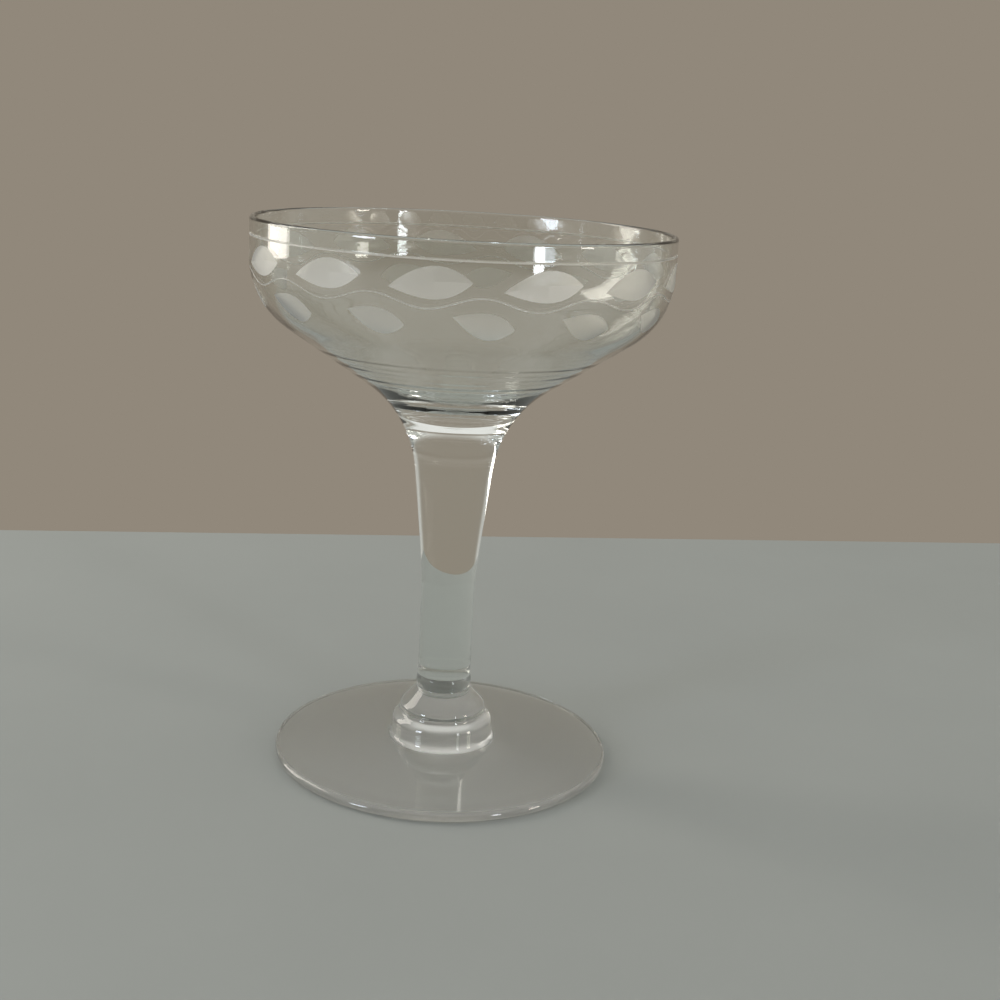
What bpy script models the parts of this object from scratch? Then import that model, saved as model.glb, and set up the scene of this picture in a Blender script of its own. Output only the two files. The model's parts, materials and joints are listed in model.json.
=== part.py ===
"""Champagne coupe in clear glass: a shallow bowl, a solid tapered stem and a disc foot.

Each piece is turned about Z from one side of its outline. An outline is given as corners in metres,
each (radius, height) or (radius, height, rounding), with heights above the table at z = 0.
"""

import math

import bmesh
import bpy

# The foot, a disc with a boss that the stem stands on
FOOT_RADIUS = 0.0380
FOOT_EDGE = 0.0022
FOOT_EDGE_ROUNDING = 0.0010
FOOT_CROWN = 0.0041
FOOT_HOLLOW = 0.0008
REST_WIDTH = 0.0050

# The boss: a rounded cushion, a cone on it and a neck under the stem's bead
BOSS_HEIGHT = 0.0170
CUSHION_RADIUS = 0.0115
CUSHION_RISE = 0.0045
CUSHION_FILLET = 0.0009
CUSHION_ROUNDING = 0.0035
LEDGE_RISE = 0.0012
BOSS_CONE_RADIUS = 0.0097
BOSS_CONE_EDGE = 0.0019
BOSS_CONE_ROUNDING = 0.0013
NECK_RADIUS = 0.0058
NECK_DROP = 0.0011
BEAD_RADIUS = 0.0062
BEAD_EDGE = 0.0005

# The stem, a straight shank that tapers out to the waist under the bowl
SHANK_RADIUS = 0.0060
SHANK_END_ROUNDING = 0.0006
STEM_LENGTH = 0.0614
TAPER_LENGTH = 0.0360
TAPER_BLEND = 0.1200
WAIST_RADIUS = 0.0100
WAIST_BLEND = 0.0260

# The bowl, a cone that turns up into a straight wall
RIM_RADIUS = 0.0451
RIM_GLASS = 0.0013
RIM_ROUNDING = 0.0006
WALL_RISE = 0.0175
SHOULDER_BLEND = 0.0170
CONE_RISE = 0.0235
CONE_GLASS = 0.0015
BASE_GLASS = 0.0035
WELL_BLEND = 0.0060

# Fused pieces stand this far apart, so that each is a solid of its own.
JOINT_GAP = 0.0003

# Fineness of the turned surfaces, and the share of a side that one rounding may take
SEGMENTS = 64
ARC_ERROR = 0.00003
LONGEST_ARC_STEP = math.radians(36.0)
SHARED_SIDE = 0.49
WHOLE_SIDE = 0.98
SHARP_ANGLE = math.radians(40.0)
MERGE_DISTANCE = 0.000001

GLASS_TINT = (0.95, 0.97, 0.96, 1.0)
GLASS_INDEX = 1.51
GLASS_ROUGHNESS = 0.02

# Heights that follow from the sizes above
STEM_FOOT = BOSS_HEIGHT + JOINT_GAP
STEM_TOP = STEM_FOOT + STEM_LENGTH
BOWL_BASE = STEM_TOP + JOINT_GAP
SHOULDER_HEIGHT = BOWL_BASE + CONE_RISE
RIM_HEIGHT = SHOULDER_HEIGHT + WALL_RISE


def clear_scene():
    """Take every object out of the scene."""
    for old in list(bpy.data.objects):
        bpy.data.objects.remove(old, do_unlink=True)


def corner_arc(before, corner, after):
    """The points of the arc that rounds a corner, or the corner itself where it stays sharp."""
    if len(corner) < 3:
        return [corner]
    back, ahead = math.dist(corner[:2], before[:2]), math.dist(corner[:2], after[:2])
    inward = [(before[k] - corner[k]) / back for k in (0, 1)]
    onward = [(after[k] - corner[k]) / ahead for k in (0, 1)]
    opening = math.acos(max(-1.0, min(1.0, inward[0] * onward[0] + inward[1] * onward[1])))
    sides = ((back, before), (ahead, after))
    room = [side * (SHARED_SIDE if len(end) > 2 else WHOLE_SIDE) for side, end in sides]
    trim = min(corner[2] / math.tan(opening / 2), *room)
    radius, turn = trim * math.tan(opening / 2), math.pi - opening
    middle = [inward[k] + onward[k] for k in (0, 1)]
    reach = math.hypot(radius, trim) / math.hypot(*middle)
    centre = [corner[k] + middle[k] * reach for k in (0, 1)]
    start = math.atan2(
        corner[1] + inward[1] * trim - centre[1], corner[0] + inward[0] * trim - centre[0]
    )
    sweep = math.copysign(turn, onward[0] * inward[1] - onward[1] * inward[0])
    arc_step = min(LONGEST_ARC_STEP, 2 * math.acos(max(0.0, 1 - ARC_ERROR / radius)))
    steps = max(2, math.ceil(turn / arc_step))
    angles = [start + sweep * step / steps for step in range(steps + 1)]
    return [(centre[0] + radius * math.cos(a), centre[1] + radius * math.sin(a)) for a in angles]


def rounded(corners):
    """The outline through the corners, with an arc at each corner that has a rounding."""
    path = [corners[0][:2]]
    for before, corner, after in zip(corners, corners[1:], corners[2:]):
        path += corner_arc(before, corner, after)
    return path + [corners[-1][:2]]


def between_heights(path, low, high):
    """The stretch of a rising outline between two heights."""
    kept = []
    for (lower_radius, lower), (upper_radius, upper) in zip(path, path[1:]):
        for level in (low, high):
            if lower < level < upper:
                share = (level - lower) / (upper - lower)
                kept.append((lower_radius + (upper_radius - lower_radius) * share, level))
        if low <= upper <= high:
            kept.append((upper_radius, upper))
    return sorted(kept, key=lambda point: point[1])


def clear_glass(name):
    """Clear glass with a faint tint."""
    material = bpy.data.materials.new(name)
    material.use_nodes = True
    shader = material.node_tree.nodes["Principled BSDF"]
    shader.inputs["Base Color"].default_value = GLASS_TINT
    shader.inputs["Roughness"].default_value = GLASS_ROUGHNESS
    shader.inputs["IOR"].default_value = GLASS_INDEX
    shader.inputs["Transmission Weight"].default_value = 1.0
    return material


def turned(name, path, base, parent):
    """A solid turned about Z from an outline that starts and ends on the axis, placed at its base."""
    shape = bmesh.new()
    points = [shape.verts.new((radius, 0.0, height - base)) for radius, height in path]
    sides = [shape.edges.new(ends) for ends in zip(points, points[1:])]
    bmesh.ops.spin(
        shape,
        geom=points + sides,
        cent=(0.0, 0.0, 0.0),
        axis=(0.0, 0.0, 1.0),
        angle=2 * math.pi,
        steps=SEGMENTS,
    )
    bmesh.ops.remove_doubles(shape, verts=shape.verts, dist=MERGE_DISTANCE)
    bmesh.ops.recalc_face_normals(shape, faces=shape.faces)
    mesh = bpy.data.meshes.new(name)
    shape.to_mesh(mesh)
    shape.free()
    mesh.shade_smooth()
    mesh.set_sharp_from_angle(angle=SHARP_ANGLE)
    mesh.materials.append(clear_glass(f"{name} clear glass"))
    solid = bpy.data.objects.new(name, mesh)
    solid.parent = parent
    solid.location.z = base
    bpy.context.collection.objects.link(solid)


def stem_and_bowl_outline():
    """The outside of the stem and bowl together, from the boss to the rim."""
    return rounded([
        (SHANK_RADIUS, STEM_FOOT),
        (SHANK_RADIUS, BOWL_BASE - TAPER_LENGTH, TAPER_BLEND),
        (WAIST_RADIUS, BOWL_BASE, WAIST_BLEND),
        (RIM_RADIUS, SHOULDER_HEIGHT, SHOULDER_BLEND),
        (RIM_RADIUS, RIM_HEIGHT),
    ])


def foot_outline():
    """The disc and its boss, hollowed a little below so that the foot rests on a ring."""
    cushion_top = FOOT_CROWN + CUSHION_RISE
    ledge = cushion_top + LEDGE_RISE
    return rounded([
        (0.0, FOOT_HOLLOW),
        (FOOT_RADIUS - FOOT_EDGE_ROUNDING - REST_WIDTH, 0.0),
        (FOOT_RADIUS, 0.0, FOOT_EDGE_ROUNDING),
        (FOOT_RADIUS, FOOT_EDGE, FOOT_EDGE_ROUNDING),
        (CUSHION_RADIUS, FOOT_CROWN, CUSHION_FILLET),
        (CUSHION_RADIUS, cushion_top, CUSHION_ROUNDING),
        (BOSS_CONE_RADIUS, ledge),
        (BOSS_CONE_RADIUS, ledge + BOSS_CONE_EDGE, BOSS_CONE_ROUNDING),
        (NECK_RADIUS, BOSS_HEIGHT - NECK_DROP),
        (BEAD_RADIUS, BOSS_HEIGHT - BEAD_EDGE),
        (BEAD_RADIUS, BOSS_HEIGHT),
        (0.0, BOSS_HEIGHT),
    ])


def stem_outline(outside):
    """The solid stem, from the boss to the waist."""
    side = between_heights(outside, STEM_FOOT + 2 * SHANK_END_ROUNDING, STEM_TOP)
    end = rounded([(0.0, STEM_FOOT), (SHANK_RADIUS, STEM_FOOT, SHANK_END_ROUNDING), side[0]])
    return end + side[1:] + [(0.0, STEM_TOP)]


def bowl_outline(outside):
    """The open bowl, thin at the rim and thick over the stem."""
    side = between_heights(outside, BOWL_BASE, RIM_HEIGHT - 2 * RIM_ROUNDING)
    cone_run = RIM_RADIUS - WAIST_RADIUS
    slope = CONE_RISE / cone_run
    inner_radius = RIM_RADIUS - RIM_GLASS
    inner_shoulder = SHOULDER_HEIGHT - RIM_GLASS * slope + CONE_GLASS * math.hypot(1.0, slope)
    well_height = BOWL_BASE + BASE_GLASS
    well_radius = inner_radius - (inner_shoulder - well_height) / slope
    inside = rounded([
        side[-1],
        (RIM_RADIUS, RIM_HEIGHT, RIM_ROUNDING),
        (inner_radius, RIM_HEIGHT, RIM_ROUNDING),
        (inner_radius, inner_shoulder, SHOULDER_BLEND - RIM_GLASS),
        (well_radius, well_height, WELL_BLEND),
        (0.0, well_height),
    ])
    return [(0.0, BOWL_BASE)] + side[:-1] + inside


def build_coupe():
    """The foot, stem and bowl, one above the other on one axis."""
    coupe = bpy.data.objects.new("champagne_coupe", None)
    bpy.context.collection.objects.link(coupe)
    outside = stem_and_bowl_outline()
    turned("foot", foot_outline(), 0.0, coupe)
    turned("stem", stem_outline(outside), STEM_FOOT, coupe)
    turned("bowl", bowl_outline(outside), BOWL_BASE, coupe)


clear_scene()
build_coupe()
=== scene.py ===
"""Looks of a champagne coupe: clear blown glass with a wheel-cut garland, standing on a pale table.

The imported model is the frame. Each piece of glass is turned again here from a finer outline, so that it
bends light as smoothly as real glass does, and the ring, the vine and the leaves are cut into the bowl.
Lengths are in metres, the axis is Z and the foot rests on z = 0.
"""

import json
import logging
import math
from collections.abc import Callable, Iterable, Sequence
from dataclasses import dataclass
from enum import Enum

import bmesh
import bpy
from mathutils import Matrix, Vector

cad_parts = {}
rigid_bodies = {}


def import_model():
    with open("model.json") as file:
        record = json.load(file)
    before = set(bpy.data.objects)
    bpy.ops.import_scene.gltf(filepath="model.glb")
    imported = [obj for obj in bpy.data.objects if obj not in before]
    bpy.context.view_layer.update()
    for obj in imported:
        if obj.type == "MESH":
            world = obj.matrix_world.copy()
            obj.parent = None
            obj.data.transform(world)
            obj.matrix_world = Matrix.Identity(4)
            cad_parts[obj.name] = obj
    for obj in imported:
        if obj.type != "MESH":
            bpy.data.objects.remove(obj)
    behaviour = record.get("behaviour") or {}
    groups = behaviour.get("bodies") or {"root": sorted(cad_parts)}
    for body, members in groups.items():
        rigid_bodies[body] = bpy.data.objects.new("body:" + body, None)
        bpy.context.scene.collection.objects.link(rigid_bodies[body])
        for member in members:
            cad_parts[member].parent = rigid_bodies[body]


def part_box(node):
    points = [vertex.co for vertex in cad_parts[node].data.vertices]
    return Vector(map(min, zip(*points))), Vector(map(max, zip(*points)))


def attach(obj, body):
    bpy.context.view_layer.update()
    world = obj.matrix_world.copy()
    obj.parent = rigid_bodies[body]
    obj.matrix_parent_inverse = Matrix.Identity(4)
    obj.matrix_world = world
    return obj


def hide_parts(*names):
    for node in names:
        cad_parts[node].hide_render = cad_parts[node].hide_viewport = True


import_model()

MM = 0.001
MERGE_DISTANCE = 1e-6
JOINT_TOLERANCE = 1e-5
SHARP_ANGLE = math.radians(14.0)

log = logging.getLogger("coupe")

Point = tuple[float, float]
Place = tuple[float, float, float]
Colour = tuple[float, float, float, float]


class SocketKind(Enum):
    """What a named input of a geometry nodes tree takes."""

    GEOMETRY = "NodeSocketGeometry"
    FLOAT = "NodeSocketFloat"
    INTEGER = "NodeSocketInt"
    VECTOR = "NodeSocketVector"
    OBJECT = "NodeSocketObject"
    MATERIAL = "NodeSocketMaterial"


class Glass(Enum):
    """The finishes that the glass carries."""

    CLEAR = "clear"
    HAZED = "hazed"
    GROUND = "ground"
    WORN = "worn"
    FUSED = "fused"


def srgb(code: str) -> Colour:
    """Turn a hex colour into the linear colour that a shader takes.

    Args:
        code: The colour as "#RRGGBB".

    Returns:
        Red, green, blue and alpha, linear.
    """
    parts = [int(code[start : start + 2], 16) / 255 for start in (1, 3, 5)]
    red, green, blue = (p / 12.92 if p <= 0.04045 else ((p + 0.055) / 1.055) ** 2.4 for p in parts)
    return red, green, blue, 1.0


def add_node(
    tree: bpy.types.NodeTree, kind: str, inputs: dict | None = None, **settings: object
) -> bpy.types.Node:
    """Add one node with its settings, its input values and its links.

    Args:
        tree: The tree that takes the node.
        kind: The node's type name.
        inputs: A value, a socket or several sockets for each input, by name or by number.
        settings: Properties of the node itself.

    Returns:
        The node.
    """
    node = tree.nodes.new(kind)
    for name, value in settings.items():
        setattr(node, name, value)
    for key, value in (inputs or {}).items():
        named = [s for s in node.inputs if s.enabled and s.name == key]
        socket = node.inputs[key] if isinstance(key, int) else named[0]
        sources = value if isinstance(value, list) else [value]
        if isinstance(sources[0], bpy.types.NodeSocket):
            for source in sources:
                tree.links.new(source, socket)
        else:
            socket.default_value = value
    return node


def linked_object(name: str, mesh: bpy.types.Mesh) -> bpy.types.Object:
    """Put a mesh into the scene at the origin.

    Args:
        name: The object's name.
        mesh: Its mesh.

    Returns:
        The object.
    """
    shown = bpy.data.objects.new(name, mesh)
    bpy.context.scene.collection.objects.link(shown)
    return shown


@dataclass(frozen=True)
class Corner:
    """A corner of an outline, with the radius that rounds it."""

    radius: float
    height: float
    rounding: float = 0.0


class Outline:
    """One side of a turned piece, as points of radius and height."""

    ARC_STEP = math.radians(2.0)
    FEWEST_ARC_STEPS = 4
    MOST_OF_A_SIDE = 0.98
    HALF_A_SIDE = 0.49

    def __init__(self, points: Iterable[Point]) -> None:
        """Keep the points in order."""
        self.points: list[Point] = list(points)

    def __add__(self, other: "Outline") -> "Outline":
        """Run on into another outline, with one point where they meet."""
        return Outline(self.points + other.points[1:])

    @classmethod
    def rounded(cls, corners: Sequence[Corner]) -> "Outline":
        """Run through corners, with an arc at each one that has a rounding.

        Args:
            corners: The corners in order.

        Returns:
            The outline.
        """
        points = [(corners[0].radius, corners[0].height)]
        for before, corner, after in zip(corners, corners[1:], corners[2:]):
            points += cls.arc(before, corner, after)
        return cls(points + [(corners[-1].radius, corners[-1].height)])

    @classmethod
    def arc(cls, before: Corner, corner: Corner, after: Corner) -> list[Point]:
        """Round one corner.

        Args:
            before: The corner before it.
            corner: The corner to round.
            after: The corner after it.

        Returns:
            The arc's points, or the corner itself where it stays sharp.
        """
        tip = Vector((corner.radius, corner.height))
        if not corner.rounding:
            return [tuple(tip)]
        sides = [Vector((end.radius, end.height)) - tip for end in (before, after)]
        inward, onward = (side.normalized() for side in sides)
        half = inward.angle(onward) / 2
        shares = [cls.HALF_A_SIDE if end.rounding else cls.MOST_OF_A_SIDE for end in (before, after)]
        room = [side.length * share for side, share in zip(sides, shares)]
        trim = min(corner.rounding / math.tan(half), *room)
        radius, turn = trim * math.tan(half), math.pi - 2 * half
        centre = tip + (inward + onward).normalized() * math.hypot(radius, trim)
        first = tip + inward * trim - centre
        sweep = math.copysign(turn, onward.x * inward.y - onward.y * inward.x)
        steps = max(cls.FEWEST_ARC_STEPS, math.ceil(turn / cls.ARC_STEP))
        turned = (Matrix.Rotation(sweep * step / steps, 2) @ first for step in range(steps + 1))
        return [tuple(centre + spoke) for spoke in turned]

    def between(self, low: float, high: float) -> "Outline":
        """Keep the stretch of a rising outline between two heights.

        Args:
            low: The lower height.
            high: The upper height.

        Returns:
            The stretch, with a point at each of the two heights.
        """
        kept: list[Point] = []
        for (lower_radius, lower), (upper_radius, upper) in zip(self.points, self.points[1:]):
            for level in (low, high):
                if lower <= level < upper:
                    share = (level - lower) / (upper - lower)
                    kept.append((lower_radius + (upper_radius - lower_radius) * share, level))
            if low < upper <= high:
                kept.append((upper_radius, upper))
        return Outline(sorted(kept, key=lambda point: point[1]))

    def evenly(self, step: float) -> "Outline":
        """Space the points evenly along the outline.

        Args:
            step: The longest distance from one point to the next.

        Returns:
            The outline with its ends kept.
        """
        lengths = [math.dist(a, b) for a, b in zip(self.points, self.points[1:])]
        count = max(1, math.ceil(sum(lengths) / step))
        stride, spaced, travelled, leg = sum(lengths) / count, [self.points[0]], 0.0, 0
        for number in range(1, count):
            while travelled + lengths[leg] < number * stride:
                travelled += lengths[leg]
                leg += 1
            share = (number * stride - travelled) / lengths[leg]
            start, end = self.points[leg], self.points[leg + 1]
            spaced.append(tuple(start[k] + (end[k] - start[k]) * share for k in (0, 1)))
        return Outline(spaced + [self.points[-1]])

    def creased(self, height: float, depth: float, width: float) -> "Outline":
        """Draw the outline in a little where two pieces are fused.

        Args:
            height: The joint's height.
            depth: How far the outline is drawn in at the joint.
            width: How far the crease reaches up and down.

        Returns:
            The creased outline.
        """
        shares = (max(0.0, 1 - abs(level - height) / width) ** 2 for _, level in self.points)
        return Outline(
            (radius - depth * share, level) for (radius, level), share in zip(self.points, shares)
        )

    def polished(self, passes: int) -> "Outline":
        """Even out the curvature, as heat does to glass.

        Args:
            passes: How often each point is drawn towards its neighbours.

        Returns:
            The outline with its ends kept.
        """
        points = self.points
        for _ in range(passes):
            drawn = [
                tuple((a[k] + 2 * b[k] + c[k]) / 4 for k in (0, 1))
                for a, b, c in zip(points, points[1:], points[2:])
            ]
            points = [points[0], *drawn, points[-1]]
        return Outline(points)

    def rippled(self, ripples: Sequence["Ripple"], inner: float, outer: float) -> "Outline":
        """Add the faint rings that tools leave in glass while it spins.

        Args:
            ripples: The waves that are added up.
            inner: The radius where the rings start.
            outer: The radius where they end.

        Returns:
            The rippled outline with its ends kept.
        """
        moved, travelled = [self.points[0]], 0.0
        for before, here, after in zip(self.points, self.points[1:], self.points[2:]):
            travelled += math.dist(before, here)
            along = Vector(after) - Vector(before)
            across = Vector((along.y, -along.x)).normalized()
            share = (here[0] - inner) / (outer - inner)
            fade = math.sin(math.pi * share) ** 2 if 0.0 < share < 1.0 else 0.0
            height = sum(ripple.at(travelled) for ripple in ripples) * fade
            moved.append((here[0] + across.x * height, here[1] + across.y * height))
        return Outline(moved + [self.points[-1]])


@dataclass(frozen=True)
class Ripple:
    """One wave of the rings that tools leave in spinning glass."""

    height: float
    length: float
    start: float

    def at(self, distance: float) -> float:
        """Give the wave's height at a distance along the outline."""
        return self.height * math.sin(2 * math.pi * (distance / self.length + self.start))


class NodeTool:
    """A geometry nodes tree with named inputs, run on a piece and baked into its mesh."""

    name: str
    sockets: dict[str, SocketKind]

    def __init__(self) -> None:
        """Make the tree with its inputs and its output."""
        self.tree = bpy.data.node_groups.new(self.name, "GeometryNodeTree")
        face = self.tree.interface
        face.new_socket("Geometry", in_out="OUTPUT", socket_type=SocketKind.GEOMETRY.value)
        self.ids = {
            name: face.new_socket(name, in_out="INPUT", socket_type=kind.value).identifier
            for name, kind in self.sockets.items()
        }
        self.given = add_node(self.tree, "NodeGroupInput").outputs
        add_node(self.tree, "NodeGroupOutput", {"Geometry": self.result()})

    def result(self) -> bpy.types.NodeSocket:
        """Build the tree and return the geometry that it ends in."""
        raise NotImplementedError

    def run(self, piece: bpy.types.Object, values: dict[str, object]) -> None:
        """Run the tree on a piece and keep the result as its plain mesh.

        Args:
            piece: The object to work on.
            values: A value for each named input, apart from the piece's own geometry.
        """
        modifier = piece.modifiers.new(self.name, "NODES")
        modifier.node_group = self.tree
        for name, value in values.items():
            modifier[self.ids[name]] = value
        graph = bpy.context.evaluated_depsgraph_get()
        made = bpy.data.meshes.new_from_object(piece.evaluated_get(graph), depsgraph=graph)
        piece.modifiers.remove(modifier)
        # A bare outline leaves an empty slot before the glass.
        if made.materials[0] is None:
            made.materials.pop(index=0)
        worn_out, piece.data = piece.data, made
        made.name = piece.name
        bpy.data.meshes.remove(worn_out)


class Lathe(NodeTool):
    """Turns an outline about Z and leaves the slight unevenness of hand work."""

    name = "lathe"
    sockets = {
        "Outline": SocketKind.GEOMETRY,
        "Spokes": SocketKind.INTEGER,
        "Spoke Angle": SocketKind.FLOAT,
        "Unevenness": SocketKind.FLOAT,
        "Unevenness Scale": SocketKind.FLOAT,
        "Glass": SocketKind.MATERIAL,
    }

    def result(self) -> bpy.types.NodeSocket:
        """Sweep a grid round the axis, close it and set its glass.

        Returns:
            The turned piece.
        """
        tree, given = self.tree, self.given
        outline = given["Outline"]
        count = add_node(
            tree, "GeometryNodeAttributeDomainSize", {"Geometry": outline}
        ).outputs["Point Count"]
        grid = add_node(
            tree, "GeometryNodeMeshGrid", {"Vertices X": given["Spokes"], "Vertices Y": count}
        )
        index = add_node(tree, "GeometryNodeInputIndex").outputs[0]
        spoke, place = (
            add_node(tree, "FunctionNodeIntegerMath", {0: index, 1: count}, operation=part).outputs[0]
            for part in ("DIVIDE", "MODULO")
        )
        position = add_node(tree, "GeometryNodeInputPosition").outputs[0]
        sampled = add_node(
            tree,
            "GeometryNodeSampleIndex",
            {"Geometry": outline, "Value": position, "Index": place},
            data_type="FLOAT_VECTOR",
        )
        angle = add_node(
            tree, "ShaderNodeMath", {0: spoke, 1: given["Spoke Angle"]}, operation="MULTIPLY"
        )
        swept = add_node(
            tree,
            "ShaderNodeVectorRotate",
            {"Vector": sampled.outputs[0], "Angle": angle.outputs[0]},
            rotation_type="Z_AXIS",
        )
        mapped = add_node(
            tree,
            "GeometryNodeStoreNamedAttribute",
            {"Geometry": grid.outputs["Mesh"], "Name": "UVMap", "Value": grid.outputs["UV Map"]},
            data_type="FLOAT2",
            domain="CORNER",
        )
        turned = add_node(
            tree,
            "GeometryNodeSetPosition",
            {"Geometry": mapped.outputs[0], "Position": swept.outputs[0]},
        )
        closed = add_node(
            tree,
            "GeometryNodeMergeByDistance",
            {"Geometry": turned.outputs[0], "Distance": MERGE_DISTANCE},
        )
        uneven = add_node(
            tree,
            "GeometryNodeSetPosition",
            {"Geometry": closed.outputs[0], "Offset": self.unevenness(position)},
        )
        whole = add_node(tree, "GeometryNodeRealizeInstances", {"Geometry": uneven.outputs[0]})
        return add_node(
            tree,
            "GeometryNodeSetMaterial",
            {"Geometry": whole.outputs[0], "Material": given["Glass"]},
        ).outputs[0]

    def unevenness(self, position: bpy.types.NodeSocket) -> bpy.types.NodeSocket:
        """Give each point a small push along its radius, smooth from point to point.

        Args:
            position: The points' places.

        Returns:
            The push.
        """
        tree, given = self.tree, self.given
        waves = add_node(
            tree,
            "ShaderNodeTexNoise",
            {"Vector": position, "Scale": given["Unevenness Scale"], "Detail": 0.0},
            normalize=False,
        )
        flat = add_node(
            tree, "ShaderNodeVectorMath", {0: position, 1: (1.0, 1.0, 0.0)}, operation="MULTIPLY"
        )
        push = add_node(
            tree, "ShaderNodeVectorMath", {0: flat.outputs[0]}, operation="NORMALIZE"
        ).outputs[0]
        for share in (waves.outputs["Fac"], given["Unevenness"]):
            push = add_node(
                tree, "ShaderNodeVectorMath", {0: push, "Scale": share}, operation="SCALE"
            ).outputs[0]
        return push

    def turn(self, name: str, outline: Outline, values: dict[str, object]) -> bpy.types.Object:
        """Turn one piece.

        Args:
            name: The piece's name.
            outline: Its outline, from the axis below to the axis above.
            values: The tree's inputs for this piece.

        Returns:
            The piece, closed and facing outward.
        """
        mesh = bpy.data.meshes.new(name)
        places = [(radius, 0.0, height) for radius, height in outline.points]
        mesh.from_pydata(places, [(n, n + 1) for n in range(len(places) - 1)], [])
        piece = linked_object(name, mesh)
        self.run(piece, values)
        return piece


class CuttingWheel(NodeTool):
    """Cuts two rows of leaves, a vine and a ring into the wall of a bowl.

    A leaf comes as a solid that lies on the wall, and is repeated round the axis. The vine and the ring
    come as wires that lie on the wall all the way round.
    """

    name = "cutting wheel"
    sockets = {
        "Blank": SocketKind.GEOMETRY,
        "Upper Leaf": SocketKind.OBJECT,
        "Lower Leaf": SocketKind.OBJECT,
        "Vine": SocketKind.OBJECT,
        "Ring": SocketKind.OBJECT,
        "Repeats": SocketKind.INTEGER,
        "Repeat Turn": SocketKind.VECTOR,
        "Vine Radius": SocketKind.FLOAT,
        "Ring Radius": SocketKind.FLOAT,
        "Ground Glass": SocketKind.MATERIAL,
    }
    LINE_SIDES = 8

    def result(self) -> bpy.types.NodeSocket:
        """Gather the cuts, give them their finish and take them out of the glass.

        Returns:
            The cut piece.
        """
        tree, given = self.tree, self.given
        cuts = [self.row(given[leaf]) for leaf in ("Upper Leaf", "Lower Leaf")]
        cuts += [self.line(given[line], given[f"{line} Radius"]) for line in ("Vine", "Ring")]
        ground = [
            add_node(
                tree,
                "GeometryNodeSetMaterial",
                {"Geometry": cut, "Material": given["Ground Glass"]},
            ).outputs[0]
            for cut in cuts
        ]
        return add_node(
            tree,
            "GeometryNodeMeshBoolean",
            {"Mesh 1": given["Blank"], "Mesh 2": ground},
            operation="DIFFERENCE",
            solver="MANIFOLD",
        ).outputs["Mesh"]

    def row(self, leaf: bpy.types.NodeSocket) -> bpy.types.NodeSocket:
        """Repeat one leaf round the axis.

        Args:
            leaf: The input that holds the leaf.

        Returns:
            The row's leaves.
        """
        tree, given = self.tree, self.given
        places = add_node(
            tree, "GeometryNodeMeshLine", {"Count": given["Repeats"], "Offset": (0.0, 0.0, 0.0)}
        )
        index = add_node(tree, "GeometryNodeInputIndex").outputs[0]
        turn = add_node(
            tree,
            "ShaderNodeVectorMath",
            {0: given["Repeat Turn"], "Scale": index},
            operation="SCALE",
        )
        shape = add_node(tree, "GeometryNodeObjectInfo", {"Object": leaf})
        leaves = add_node(
            tree,
            "GeometryNodeInstanceOnPoints",
            {
                "Points": places.outputs[0],
                "Instance": shape.outputs["Geometry"],
                "Rotation": turn.outputs[0],
            },
        )
        return add_node(
            tree, "GeometryNodeRealizeInstances", {"Geometry": leaves.outputs[0]}
        ).outputs[0]

    def line(self, wire: bpy.types.NodeSocket, radius: bpy.types.NodeSocket) -> bpy.types.NodeSocket:
        """Thicken a wire into the rod that cuts its line.

        Args:
            wire: The input that holds the wire.
            radius: The rod's radius.

        Returns:
            The rod.
        """
        tree = self.tree
        shape = add_node(tree, "GeometryNodeObjectInfo", {"Object": wire})
        path = add_node(tree, "GeometryNodeMeshToCurve", {"Mesh": shape.outputs["Geometry"]})
        section = add_node(
            tree,
            "GeometryNodeCurvePrimitiveCircle",
            {"Resolution": self.LINE_SIDES, "Radius": radius},
        )
        return add_node(
            tree,
            "GeometryNodeCurveToMesh",
            {"Curve": path.outputs[0], "Profile Curve": section.outputs["Curve"]},
        ).outputs[0]


@dataclass(frozen=True)
class SodaLimeGlass:
    """Soda-lime glass: it lets light through and bends it, and its skin is rougher in some patches."""

    name: str
    tint: str
    clearness: float
    roughness: Point
    patch_size: float
    patch_span: Point
    patch_detail: float
    index: float = 1.51

    def material(self) -> bpy.types.Material:
        """Build the material, with its roughness in patches.

        Returns:
            The material.
        """
        made = bpy.data.materials.new(self.name)
        made.use_nodes = True
        tree = made.node_tree
        shader = tree.nodes["Principled BSDF"]
        shader.inputs["Base Color"].default_value = srgb(self.tint)
        shader.inputs["IOR"].default_value = self.index
        shader.inputs["Transmission Weight"].default_value = self.clearness
        place = add_node(tree, "ShaderNodeTexCoord").outputs["Object"]
        patches = add_node(
            tree,
            "ShaderNodeTexNoise",
            {"Vector": place, "Scale": 1 / self.patch_size, "Detail": self.patch_detail},
        )
        rough = add_node(
            tree,
            "ShaderNodeMapRange",
            {
                "Value": patches.outputs["Fac"],
                "From Min": self.patch_span[0],
                "From Max": self.patch_span[1],
                "To Min": self.roughness[0],
                "To Max": self.roughness[1],
            },
        )
        tree.links.new(rough.outputs[0], shader.inputs["Roughness"])
        return made


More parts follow.
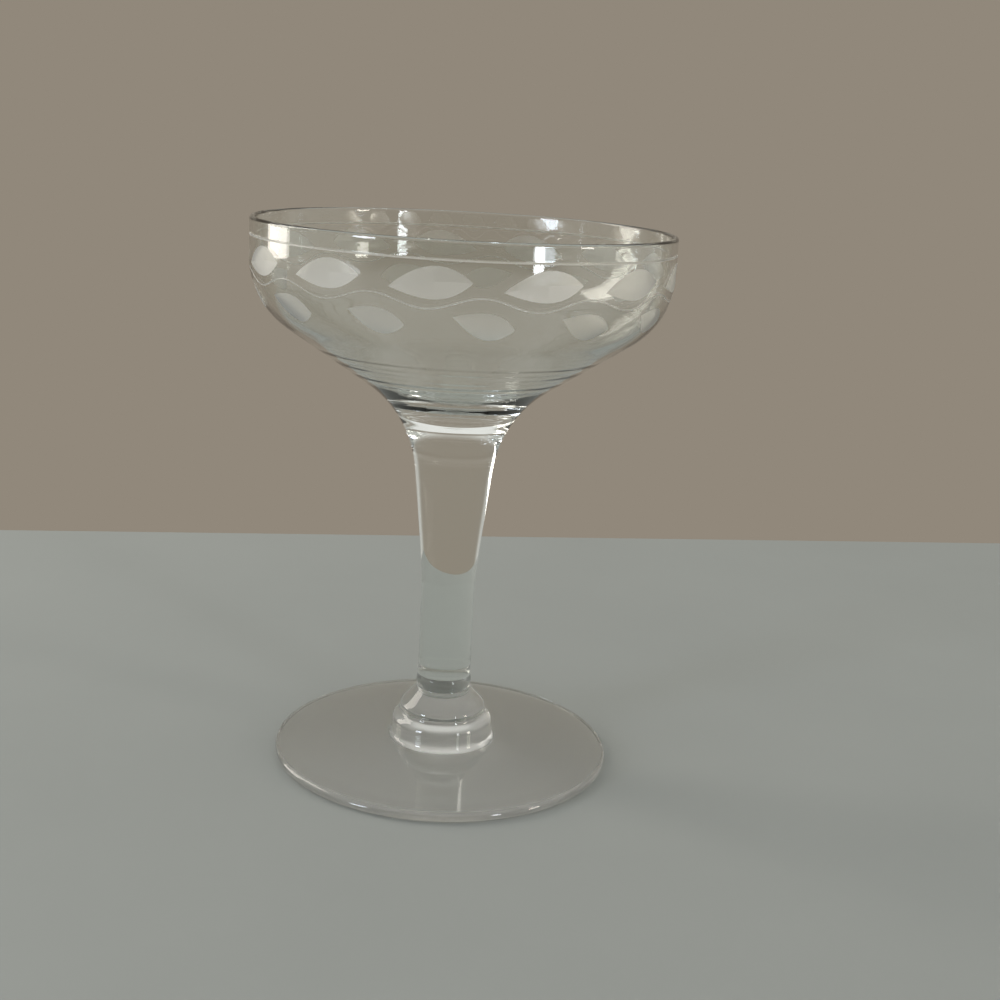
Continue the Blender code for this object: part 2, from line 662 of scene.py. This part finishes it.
@dataclass(frozen=True)
class ClearGlass(SodaLimeGlass):
    """Blown and fire-polished glass: clear, faintly green-grey, with soft waves and a few dull smudges."""

    name: str = "soda-lime glass, fire-polished"
    tint: str = "#F8FBF9"
    clearness: float = 1.0
    roughness: Point = (0.0, 0.05)
    patch_size: float = 14 * MM
    patch_span: Point = (0.55, 0.80)
    patch_detail: float = 4.0
    wave: float = 0.012 * MM
    wave_size: float = 7 * MM

    def material(self) -> bpy.types.Material:
        """Build the material and add its waves, which bend what is seen through it.

        Returns:
            The material.
        """
        made = super().material()
        tree = made.node_tree
        place = add_node(tree, "ShaderNodeTexCoord").outputs["Object"]
        waves = add_node(
            tree,
            "ShaderNodeTexNoise",
            {"Vector": place, "Scale": 1 / self.wave_size, "Detail": 1.0},
        )
        bump = add_node(
            tree,
            "ShaderNodeBump",
            {"Height": waves.outputs["Fac"], "Strength": 1.0, "Distance": self.wave},
        )
        tree.links.new(bump.outputs[0], tree.nodes["Principled BSDF"].inputs["Normal"])
        return made


@dataclass(frozen=True)
class GroundGlass(SodaLimeGlass):
    """Glass ground by a wheel or by wear: the grit scatters light, so it looks white and frosted.

    Real grit is too fine to show, so its patches are drawn as coarse as they need to be.
    """

    patch_size: float = 0.9 * MM
    patch_span: Point = (0.30, 0.70)
    patch_detail: float = 3.0


@dataclass(frozen=True)
class FusedGlass:
    """The inside of a fused joint, where glass runs on into glass and nothing is to be seen."""

    name: str = "soda-lime glass, fused joint"

    def material(self) -> bpy.types.Material:
        """Build the material: light passes it unbent.

        Returns:
            The material.
        """
        made = bpy.data.materials.new(self.name)
        made.use_nodes = True
        tree = made.node_tree
        tree.nodes.remove(tree.nodes["Principled BSDF"])
        clear = add_node(tree, "ShaderNodeBsdfTransparent")
        tree.links.new(clear.outputs[0], tree.nodes["Material Output"].inputs["Surface"])
        return made


@dataclass(frozen=True)
class Board:
    """A painted table board: pale, matt, very slightly mottled."""

    name: str
    light: str
    dark: str
    roughness: float = 0.85
    mottle_size: float = 60 * MM

    def material(self) -> bpy.types.Material:
        """Build the material: two close shades in soft patches.

        Returns:
            The material.
        """
        made = bpy.data.materials.new(self.name)
        made.use_nodes = True
        tree = made.node_tree
        shader = tree.nodes["Principled BSDF"]
        shader.inputs["Roughness"].default_value = self.roughness
        place = add_node(tree, "ShaderNodeTexCoord").outputs["Object"]
        patches = add_node(
            tree,
            "ShaderNodeTexNoise",
            {"Vector": place, "Scale": 1 / self.mottle_size, "Detail": 5.0},
        )
        shade = add_node(
            tree,
            "ShaderNodeMix",
            {0: patches.outputs["Fac"], 6: srgb(self.dark), 7: srgb(self.light)},
            data_type="RGBA",
        )
        tree.links.new(shade.outputs[2], shader.inputs["Base Color"])
        return made


@dataclass(frozen=True)
class Joints:
    """The heights where the three pieces are fused, midway between the solids, read from the frame."""

    lower: float
    upper: float

    @classmethod
    def from_frame(cls) -> "Joints":
        """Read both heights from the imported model."""
        foot, stem, bowl = (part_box(node) for node in ("foot", "stem", "bowl"))
        return cls(lower=(foot[1].z + stem[0].z) / 2, upper=(stem[1].z + bowl[0].z) / 2)

    def hold(self, height: float) -> bool:
        """Tell whether a height lies at one of the joints."""
        return min(abs(height - joint) for joint in (self.lower, self.upper)) < JOINT_TOLERANCE


@dataclass(frozen=True)
class Outside:
    """The outside that stem and bowl share: shank, taper, waist, cone, shoulder and wall."""

    joint: float
    foot_height: float
    bowl_base: float
    rim_radius: float
    rim_height: float
    shank_radius: float = 6.0 * MM
    taper_length: float = 36.0 * MM
    taper_blend: float = 120.0 * MM
    waist_radius: float = 10.0 * MM
    waist_blend: float = 26.0 * MM
    wall_rise: float = 17.5 * MM
    shoulder_blend: float = 17.0 * MM
    crease: float = 0.14 * MM
    crease_width: float = 0.7 * MM
    step: float = 0.34 * MM
    polish: int = 24

    @classmethod
    def from_frame(cls, joint: float) -> "Outside":
        """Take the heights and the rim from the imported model.

        Args:
            joint: The height where stem and bowl are fused.

        Returns:
            The outside.
        """
        bowl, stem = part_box("bowl"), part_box("stem")
        return cls(
            joint=joint,
            foot_height=stem[0].z,
            bowl_base=bowl[0].z,
            rim_radius=(bowl[1].x - bowl[0].x) / 2,
            rim_height=bowl[1].z,
        )

    @property
    def shoulder_height(self) -> float:
        """The height of the corner between cone and wall."""
        return self.rim_height - self.wall_rise

    @property
    def slope(self) -> float:
        """How far the cone rises for each unit it widens."""
        return (self.shoulder_height - self.bowl_base) / (self.rim_radius - self.waist_radius)

    @property
    def wall_foot(self) -> float:
        """The height where the straight wall starts to turn in."""
        opening = math.pi / 2 + math.atan(self.slope)
        return self.shoulder_height + self.shoulder_blend / math.tan(opening / 2)

    def on_wall(self, turn: float, drop: float, lift: float) -> Place:
        """Find a place on the wall or on the shoulder below it.

        Args:
            turn: The angle round the axis.
            drop: How far the place lies below the rim.
            lift: How far it then stands off the glass.

        Returns:
            The place.
        """
        foot, bend = self.wall_foot, self.shoulder_blend
        height = self.rim_height - drop
        lean = math.asin(max(foot - height, 0.0) / bend)
        radius = self.rim_radius - bend + (bend + lift) * math.cos(lean)
        return radius * math.cos(turn), radius * math.sin(turn), height - lift * math.sin(lean)

    def outline(self) -> Outline:
        """Run up the whole outside, evened out as heat leaves it.

        Returns:
            The outline from the foot to the rim.
        """
        corners = Outline.rounded([
            Corner(self.shank_radius, self.foot_height),
            Corner(self.shank_radius, self.bowl_base - self.taper_length, self.taper_blend),
            Corner(self.waist_radius, self.bowl_base, self.waist_blend),
            Corner(self.rim_radius, self.shoulder_height, self.shoulder_blend),
            Corner(self.rim_radius, self.rim_height),
        ])
        side = corners.evenly(self.step).polished(self.polish)
        ends = [side.between(self.foot_height, self.joint), side.between(self.joint, self.rim_height)]
        return (ends[0] + ends[1]).creased(self.joint, self.crease, self.crease_width)


class GlassPiece:
    """A piece of glass that is turned from its outline and stands for one node of the frame."""

    node: str
    label: str
    segments: int
    unevenness: float = 0.05 * MM
    unevenness_size: float = 24 * MM

    def outline(self) -> Outline:
        """Give the outline from the axis below to the axis above."""
        raise NotImplementedError

    def dress(self, piece: bpy.types.Object, finishes: dict[Glass, bpy.types.Material]) -> None:
        """Add what only this piece has."""

    def build(
        self, lathe: Lathe, joints: Joints, finishes: dict[Glass, bpy.types.Material]
    ) -> bpy.types.Object:
        """Turn the piece, finish it and put it in the frame.

        Args:
            lathe: The lathe that turns it.
            joints: The heights of the fused joints.
            finishes: A material for each finish.

        Returns:
            The finished piece.
        """
        piece = lathe.turn(
            self.label,
            self.outline(),
            {
                "Spokes": self.segments + 1,
                "Spoke Angle": 2 * math.pi / self.segments,
                "Unevenness": self.unevenness,
                "Unevenness Scale": 1 / self.unevenness_size,
                "Glass": finishes[Glass.CLEAR],
            },
        )
        self.refinish(piece.data, finishes[Glass.FUSED], lambda face: joints.hold(face.center.z))
        self.dress(piece, finishes)
        self.crease(piece.data)
        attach(piece, "root")
        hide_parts(self.node)
        log.info("%s: %d faces", piece.name, len(piece.data.polygons))
        return piece

    @staticmethod
    def refinish(
        mesh: bpy.types.Mesh,
        finish: bpy.types.Material,
        chosen: Callable[[bpy.types.MeshPolygon], bool],
    ) -> None:
        """Give some of the faces another finish.

        Args:
            mesh: The mesh.
            finish: The finish.
            chosen: Tells whether a face gets it.
        """
        mesh.materials.append(finish)
        for face in mesh.polygons:
            if chosen(face):
                face.material_index = len(mesh.materials) - 1

    @staticmethod
    def crease(mesh: bpy.types.Mesh) -> None:
        """Shade the glass smooth, with a crisp edge at each ridge and wherever its finish changes.

        Args:
            mesh: The mesh to mark.
        """
        mesh.shade_smooth()
        shape = bmesh.new()
        shape.from_mesh(mesh)
        for edge in shape.edges:
            same = len({face.material_index for face in edge.link_faces}) == 1
            edge.smooth = same and edge.calc_face_angle(0.0) < SHARP_ANGLE
        shape.to_mesh(mesh)
        shape.free()


@dataclass
class Foot(GlassPiece):
    """The foot: a disc, hollowed a little below, with a boss that the stem stands on."""

    radius: float
    joint: float
    node: str = "foot"
    label: str = "foot_disc_and_boss"
    segments: int = 144
    edge: float = 2.2 * MM
    edge_rounding: float = 1.0 * MM
    hollow: float = 0.8 * MM
    rest_width: float = 5.0 * MM
    upward: float = 0.7
    cushion: tuple[Corner, ...] = (
        Corner(11.6 * MM, 4.1 * MM, 0.9 * MM),
        Corner(11.4 * MM, 8.6 * MM, 3.5 * MM),
        Corner(9.75 * MM, 9.8 * MM, 0.25 * MM),
    )
    cone: tuple[Corner, ...] = (
        Corner(9.7 * MM, 11.7 * MM, 1.3 * MM),
        Corner(5.75 * MM, 15.9 * MM, 0.3 * MM),
    )
    bead: Corner = Corner(6.25 * MM, 16.5 * MM, 0.4 * MM)
    step: float = 0.20 * MM
    under_step: float = 0.80 * MM
    polish: int = 6

    def outline(self) -> Outline:
        """Run out under the foot, round its edge and up over the boss.

        Returns:
            The outline from axis to axis.
        """
        rest_outer = self.radius - self.edge_rounding
        rest_inner = rest_outer - self.rest_width
        hollow = Outline([(0.0, self.hollow), (rest_inner, 0.0)]).evenly(self.under_step)
        rest = Outline([(rest_inner, 0.0), (rest_outer, 0.0)]).evenly(self.under_step)
        top = Outline.rounded([
            Corner(rest_outer, 0.0),
            Corner(self.radius, 0.0, self.edge_rounding),
            Corner(self.radius, self.edge, self.edge_rounding),
            *self.cushion,
            *self.cone,
            self.bead,
            Corner(self.bead.radius, self.joint),
        ])
        cap = Outline([(self.bead.radius, self.joint), (0.0, self.joint)])
        return hollow + rest + top.evenly(self.step).polished(self.polish) + cap

    def dress(self, piece: bpy.types.Object, finishes: dict[Glass, bpy.types.Material]) -> None:
        """Dull the underside, which rubs on tables, and haze the top of the disc.

        Args:
            piece: The foot.
            finishes: A material for each finish.
        """
        rubbed = self.radius - self.edge_rounding
        boss = self.cushion[0].radius + self.cushion[0].rounding
        self.refinish(
            piece.data,
            finishes[Glass.HAZED],
            lambda face: face.normal.z > self.upward and face.center.xy.length > boss,
        )
        self.refinish(
            piece.data,
            finishes[Glass.WORN],
            lambda face: face.center.z <= self.hollow
            and face.normal.z < 0.0
            and face.center.xy.length < rubbed,
        )


@dataclass
class Stem(GlassPiece):
    """The stem: a solid shank with a bead at its lower end, tapering out to the waist."""

    outside: Outside
    joints: Joints
    joint_radius: float
    node: str = "stem"
    label: str = "stem_drawn_shank"
    segments: int = 96
    bead: Corner = Corner(6.2 * MM, 0.8 * MM, 0.5 * MM)
    bead_blend: float = 1.6 * MM
    step: float = 0.15 * MM
    polish: int = 4

    def outline(self) -> Outline:
        """Run out over the lower joint, over the bead, up the shank and in over the upper joint.

        Returns:
            The outline from axis to axis.
        """
        low, high = self.joints.lower, self.joints.upper
        side = self.outside.outline().between(low + 2 * self.bead_blend, high)
        foot = Outline([(0.0, low), (self.joint_radius, low)])
        bead = Outline.rounded([
            Corner(self.joint_radius, low),
            Corner(self.bead.radius, low + self.bead.height, self.bead.rounding),
            Corner(self.outside.shank_radius, low + self.bead_blend, self.bead_blend),
            Corner(*side.points[0]),
        ])
        top = Outline([side.points[-1], (0.0, high)])
        return foot + bead.evenly(self.step).polished(self.polish) + side + top


@dataclass(frozen=True)
class LeafCut:
    """One leaf, cut by a mitre wheel: two facets that meet in a ridge at the bottom."""

    name: str
    length: float
    width: float
    bend: float
    tilt: float
    depth: float = 0.46 * MM
    above: float = 0.15 * MM
    fullness: float = 0.40
    bend_centre: float = 0.3
    steps: int = 30
    SECTION = ((0, -1), (1, 0), (0, 1), (-1, 0))

    def cutter(self, outside: Outside, turn: float, drop: float) -> bpy.types.Object:
        """Build the solid that the wheel takes out, a kite in section, laid on the wall.

        Args:
            outside: The bowl's outside.
            turn: The angle round the axis where the leaf's middle lies.
            drop: How far its middle lies below the rim.

        Returns:
            The solid, as an object that is taken away after the cut.
        """
        half = self.length / 2 / math.sqrt(self.depth / (self.depth + self.above))
        tilted = Matrix.Rotation(math.radians(self.tilt), 2)
        places = []
        for step in range(self.steps + 1):
            along = 2 * step / self.steps - 1
            deep = (self.depth + self.above) * (1 - along**2) * (1 + self.fullness * along)
            wide = deep * self.width / 2 / self.depth
            middle = self.bend * (along**2 - self.bend_centre)
            for side, rise in self.SECTION:
                x, y = tilted @ Vector((half * along, middle + side * wide))
                lift = self.above + rise * deep
                places.append(outside.on_wall(turn + x / outside.rim_radius, drop - y, lift))
        corners, faces = len(self.SECTION), []
        for first in range(0, corners * self.steps, corners):
            for a in range(corners):
                b = (a + 1) % corners
                faces.append([first + a, first + b, first + corners + b, first + corners + a])
        mesh = bpy.data.meshes.new(self.name)
        mesh.from_pydata(places, [], faces)
        shape = bmesh.new()
        shape.from_mesh(mesh)
        bmesh.ops.remove_doubles(shape, verts=shape.verts, dist=MERGE_DISTANCE)
        bmesh.ops.recalc_face_normals(shape, faces=shape.faces)
        shape.to_mesh(mesh)
        shape.free()
        return linked_object(self.name, mesh)


@dataclass
class Garland:
    """The cut design: a thin ring under the rim, and two rows of leaves along a wavy vine."""

    upper: LeafCut = LeafCut("upper leaf", 17.0 * MM, 5.6 * MM, bend=-0.8 * MM, tilt=6.0)
    lower: LeafCut = LeafCut("lower leaf", 13.4 * MM, 4.8 * MM, bend=0.7 * MM, tilt=-11.0)
    repeats: int = 13
    near_leaf: float = math.radians(-71.0)
    ring_drop: float = 3.6 * MM
    upper_drop: float = 8.2 * MM
    lower_drop: float = 15.4 * MM
    vine_drop: float = 11.6 * MM
    vine_swing: float = 1.2 * MM
    vine_radius: float = 0.31 * MM
    ring_radius: float = 0.30 * MM
    line_lift: float = 0.20 * MM
    points_per_repeat: int = 24

    def cut(
        self,
        wheel: CuttingWheel,
        piece: bpy.types.Object,
        outside: Outside,
        ground: bpy.types.Material,
    ) -> None:
        """Cut the design into the bowl.

        Args:
            wheel: The wheel that cuts it.
            piece: The bowl.
            outside: The bowl's outside.
            ground: The material of the cut faces.
        """
        between_leaves = self.near_leaf + math.pi / self.repeats
        tools = {
            "Upper Leaf": self.upper.cutter(outside, self.near_leaf, self.upper_drop),
            "Lower Leaf": self.lower.cutter(outside, between_leaves, self.lower_drop),
            "Vine": self.wire("vine", outside, self.vine_drop, self.vine_swing),
            "Ring": self.wire("ring", outside, self.ring_drop, 0.0),
        }
        wheel.run(
            piece,
            {
                **tools,
                "Repeats": self.repeats,
                "Repeat Turn": (0.0, 0.0, 2 * math.pi / self.repeats),
                "Vine Radius": self.vine_radius,
                "Ring Radius": self.ring_radius,
                "Ground Glass": ground,
            },
        )
        for tool in tools.values():
            bpy.data.objects.remove(tool)

    def wire(self, name: str, outside: Outside, drop: float, swing: float) -> bpy.types.Object:
        """Lay a wire round the wall, for a line to be cut along it.

        Args:
            name: The wire's name.
            outside: The bowl's outside.
            drop: How far the wire's middle lies below the rim.
            swing: How far it swings, down under each upper leaf and up over each lower leaf.

        Returns:
            The wire, as an object that is taken away after the cut.
        """
        count = self.repeats * self.points_per_repeat
        places = []
        for number in range(count):
            turn = 2 * math.pi * number / count
            wave = swing * math.cos(self.repeats * turn)
            places.append(outside.on_wall(self.near_leaf + turn, drop + wave, self.line_lift))
        mesh = bpy.data.meshes.new(name)
        mesh.from_pydata(places, [(n, (n + 1) % count) for n in range(count)], [])
        return linked_object(name, mesh)


@dataclass
class Bowl(GlassPiece):
    """The bowl: thin at the rim, thick over the stem, with the garland cut into its wall."""

    outside: Outside
    joint: float
    wheel: CuttingWheel
    garland: Garland
    node: str = "bowl"
    label: str = "bowl_blown_and_cut"
    segments: int = 192
    rim_glass: float = 1.3 * MM
    rim_rounding: float = 0.64 * MM
    cone_glass: float = 1.5 * MM
    base_glass: float = 3.5 * MM
    well_blend: float = 6.0 * MM
    step: float = 0.34 * MM
    polish: int = 24
    cone_ripples: tuple[Ripple, ...] = (
        Ripple(0.006 * MM, 2.3 * MM, 0.0),
        Ripple(0.008 * MM, 3.1 * MM, 0.3),
        Ripple(0.015 * MM, 4.7 * MM, 0.7),
    )
    well_ripples: tuple[Ripple, ...] = (
        Ripple(0.040 * MM, 1.9 * MM, 0.0),
        Ripple(0.040 * MM, 2.8 * MM, 0.4),
    )
    well_step: float = 0.18 * MM
    well_reach: float = 15 * MM
    ripple_share: float = 0.85
    rim_step: float = 0.16 * MM

    def outline(self) -> Outline:
        """Run out over the joint, up the outside, over the rim and down the inside.

        Returns:
            The outline from axis to axis.
        """
        outside = self.outside
        rim_foot = outside.rim_height - 2 * self.rim_rounding
        side = outside.outline().between(self.joint, rim_foot)
        ripple_end = self.ripple_share * outside.rim_radius
        side = side.rippled(self.cone_ripples, self.well_reach, ripple_end)
        cap = Outline([(0.0, self.joint), side.points[0]])
        inner = outside.rim_radius - self.rim_glass
        shoulder = (
            outside.shoulder_height
            - self.rim_glass * outside.slope
            + self.cone_glass * math.hypot(1.0, outside.slope)
        )
        well = outside.bowl_base + self.base_glass
        well_radius = inner - (shoulder - well) / outside.slope
        rim = Outline.rounded([
            Corner(*side.points[-1]),
            Corner(outside.rim_radius, outside.rim_height, self.rim_rounding),
            Corner(inner, outside.rim_height, self.rim_rounding),
            Corner(inner, rim_foot),
        ])
        inside = Outline.rounded([
            Corner(inner, rim_foot),
            Corner(inner, shoulder, outside.shoulder_blend - self.rim_glass),
            Corner(well_radius, well, self.well_blend),
            Corner(0.0, well),
        ])
        smooth = inside.evenly(self.step).polished(self.polish).points
        split = next(n for n, point in enumerate(smooth) if point[0] < self.well_reach)
        cone = Outline(smooth[: split + 1])
        cone = cone.rippled(self.cone_ripples, self.well_reach, ripple_end)
        bottom = Outline(smooth[split:]).evenly(self.well_step).polished(self.polish)
        bottom = bottom.rippled(self.well_ripples, 0.0, self.well_reach)
        return cap + side + rim.evenly(self.rim_step) + cone + bottom

    def dress(self, piece: bpy.types.Object, finishes: dict[Glass, bpy.types.Material]) -> None:
        """Cut the garland.

        Args:
            piece: The bowl.
            finishes: A material for each finish.
        """
        self.garland.cut(self.wheel, piece, self.outside, finishes[Glass.GROUND])


@dataclass(frozen=True)
class SoftBox:
    """A soft studio lamp that faces a point on the glass."""

    name: str
    place: Place
    width: float
    height: float
    power: float
    colour: str
    aim: Place = (0.0, 0.0, 0.08)

    def build(self) -> bpy.types.Object:
        """Put the lamp up, out of the camera's own sight.

        Returns:
            The lamp.
        """
        lamp = bpy.data.lights.new(self.name, "AREA")
        lamp.shape = "RECTANGLE"
        lamp.size, lamp.size_y = self.width, self.height
        lamp.energy = self.power
        lamp.color = srgb(self.colour)[:3]
        shown = bpy.data.objects.new(self.name, lamp)
        bpy.context.scene.collection.objects.link(shown)
        shown.location = self.place
        facing = Vector(self.aim) - Vector(self.place)
        shown.rotation_euler = facing.to_track_quat("-Z", "Y").to_euler()
        shown.visible_camera = False
        return shown


@dataclass
class Studio:
    """The table, the plain wall behind it, the lamps and the camera at the photo's view."""

    lamps: tuple[SoftBox, ...] = (
        SoftBox("tall softbox, left", (-1.04, 0.44, 0.50), 0.44, 1.10, 7.0, "#FFF8EE"),
        SoftBox("window softbox, front left", (-0.95, -0.75, 0.22), 0.26, 0.40, 6.0, "#E8F0FF"),
        SoftBox("window softbox, front right", (0.72, -0.92, 0.20), 0.11, 0.42, 2.4, "#F4F8FF"),
        SoftBox("window softbox, right", (1.05, -0.50, 0.22), 0.16, 0.34, 2.8, "#FFF8EE"),
    )
    board: Board = Board("painted board, matt", "#969A97", "#909491")
    table_width: float = 600 * MM
    table_depth: float = 357 * MM
    table_thickness: float = 20 * MM
    table_rounding: float = 2 * MM
    table_rounding_steps: int = 4
    table_turn: float = math.radians(7.0)
    air_gap: float = 0.05 * MM
    wall: str = "#91887B"
    room: str = "#716F6A"
    sides: str = "#D8D6D0"
    ceiling: str = "#EDECE8"
    wall_span: Point = (-0.35, 0.25)
    side_span: Point = (0.72, 0.92)
    ceiling_span: Point = (0.35, 0.75)
    camera_place: Place = (0.0, -311.3 * MM, 140.9 * MM)
    lens: float = 52.13
    yaw: float = math.radians(1.95)
    pitch: float = math.radians(14.55)
    roll: float = math.radians(3.25)

    def build(self) -> None:
        """Set the stage and report it."""
        self.table()
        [lamp.build() for lamp in self.lamps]
        self.camera()
        self.surroundings()
        bpy.context.scene.view_settings.view_transform = "Standard"
        log.info("studio: table, wall, %d lamps and camera", len(self.lamps))

    def table(self) -> bpy.types.Object:
        """Build the table board, with the thin film of air that the foot rests on above it.

        Returns:
            The board.
        """
        shape = bmesh.new()
        size = (self.table_width, self.table_depth, self.table_thickness, 1.0)
        lowered = Matrix.Translation((0.0, 0.0, -self.table_thickness / 2 - self.air_gap))
        turned = Matrix.Rotation(self.table_turn, 4, "Z")
        bmesh.ops.create_cube(shape, size=1.0, matrix=lowered @ turned @ Matrix.Diagonal(size))
        bmesh.ops.bevel(
            shape,
            geom=shape.edges[:],
            offset=self.table_rounding,
            segments=self.table_rounding_steps,
            affect="EDGES",
        )
        mesh = bpy.data.meshes.new("table board")
        shape.to_mesh(mesh)
        shape.free()
        mesh.materials.append(self.board.material())
        return linked_object("table board", mesh)

    def surroundings(self) -> None:
        """Make the wall behind the table, the dimmer room before it, its bright sides and its ceiling."""
        world = bpy.data.worlds.new("plain room")
        world.use_nodes = True
        tree = world.node_tree
        way = add_node(tree, "ShaderNodeTexCoord").outputs["Generated"]
        parts = add_node(tree, "ShaderNodeSeparateXYZ", {"Vector": way}).outputs
        either_side = add_node(tree, "ShaderNodeMath", {0: parts["X"]}, operation="ABSOLUTE")
        colour = srgb(self.room)
        for reach, (start, end), shade in (
            (parts["Y"], self.wall_span, self.wall),
            (either_side.outputs[0], self.side_span, self.sides),
            (parts["Z"], self.ceiling_span, self.ceiling),
        ):
            share = add_node(
                tree,
                "ShaderNodeMapRange",
                {"Value": reach, "From Min": start, "From Max": end},
                interpolation_type="SMOOTHSTEP",
            )
            colour = add_node(
                tree,
                "ShaderNodeMix",
                {0: share.outputs[0], 6: colour, 7: srgb(shade)},
                data_type="RGBA",
            ).outputs[2]
        tree.links.new(colour, tree.nodes["Background"].inputs["Color"])
        bpy.context.scene.world = world

    def camera(self) -> bpy.types.Object:
        """Put the camera where the photo was taken from, with its slight lean.

        Returns:
            The camera.
        """
        forward = Vector((
            math.sin(self.yaw) * math.cos(self.pitch),
            math.cos(self.yaw) * math.cos(self.pitch),
            -math.sin(self.pitch),
        ))
        level = forward.cross(Vector((0.0, 0.0, 1.0))).normalized()
        upright = level.cross(forward)
        right = level * math.cos(self.roll) + upright * math.sin(self.roll)
        up = upright * math.cos(self.roll) - level * math.sin(self.roll)
        lens = bpy.data.cameras.new("photo view")
        lens.lens = self.lens
        shown = bpy.data.objects.new("photo view", lens)
        bpy.context.scene.collection.objects.link(shown)
        turned = Matrix((right, up, -forward)).transposed().to_4x4()
        shown.matrix_world = Matrix.Translation(self.camera_place) @ turned
        bpy.context.scene.camera = shown
        return shown


def main() -> None:
    """Build the glass piece by piece, then the studio round it."""
    logging.basicConfig(level=logging.INFO, format="%(name)s: %(message)s")
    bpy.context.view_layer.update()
    finishes = {
        Glass.CLEAR: ClearGlass().material(),
        # Washing leaves a faint milky skin, which softens what the foot mirrors.
        Glass.HAZED: ClearGlass(
            "soda-lime glass, hazed by washing", "#F7F7F3", clearness=0.95, roughness=(0.07, 0.12)
        ).material(),
        Glass.GROUND: GroundGlass(
            "soda-lime glass, wheel-ground", "#F4F3EA", clearness=0.72, roughness=(0.32, 0.48)
        ).material(),
        Glass.WORN: GroundGlass(
            "soda-lime glass, scuffed by use", "#F6F7F3", clearness=0.88, roughness=(0.28, 0.42)
        ).material(),
        Glass.FUSED: FusedGlass().material(),
    }
    joints, lathe = Joints.from_frame(), Lathe()
    outside = Outside.from_frame(joints.upper)
    foot_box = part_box("foot")
    foot = Foot(radius=(foot_box[1].x - foot_box[0].x) / 2, joint=joints.lower)
    stem = Stem(outside, joints, foot.bead.radius)
    bowl = Bowl(outside, joints.upper, CuttingWheel(), Garland())
    for part in (foot, stem, bowl):
        part.build(lathe, joints, finishes)
    Studio().build()


if __name__ == "__main__":
    main()
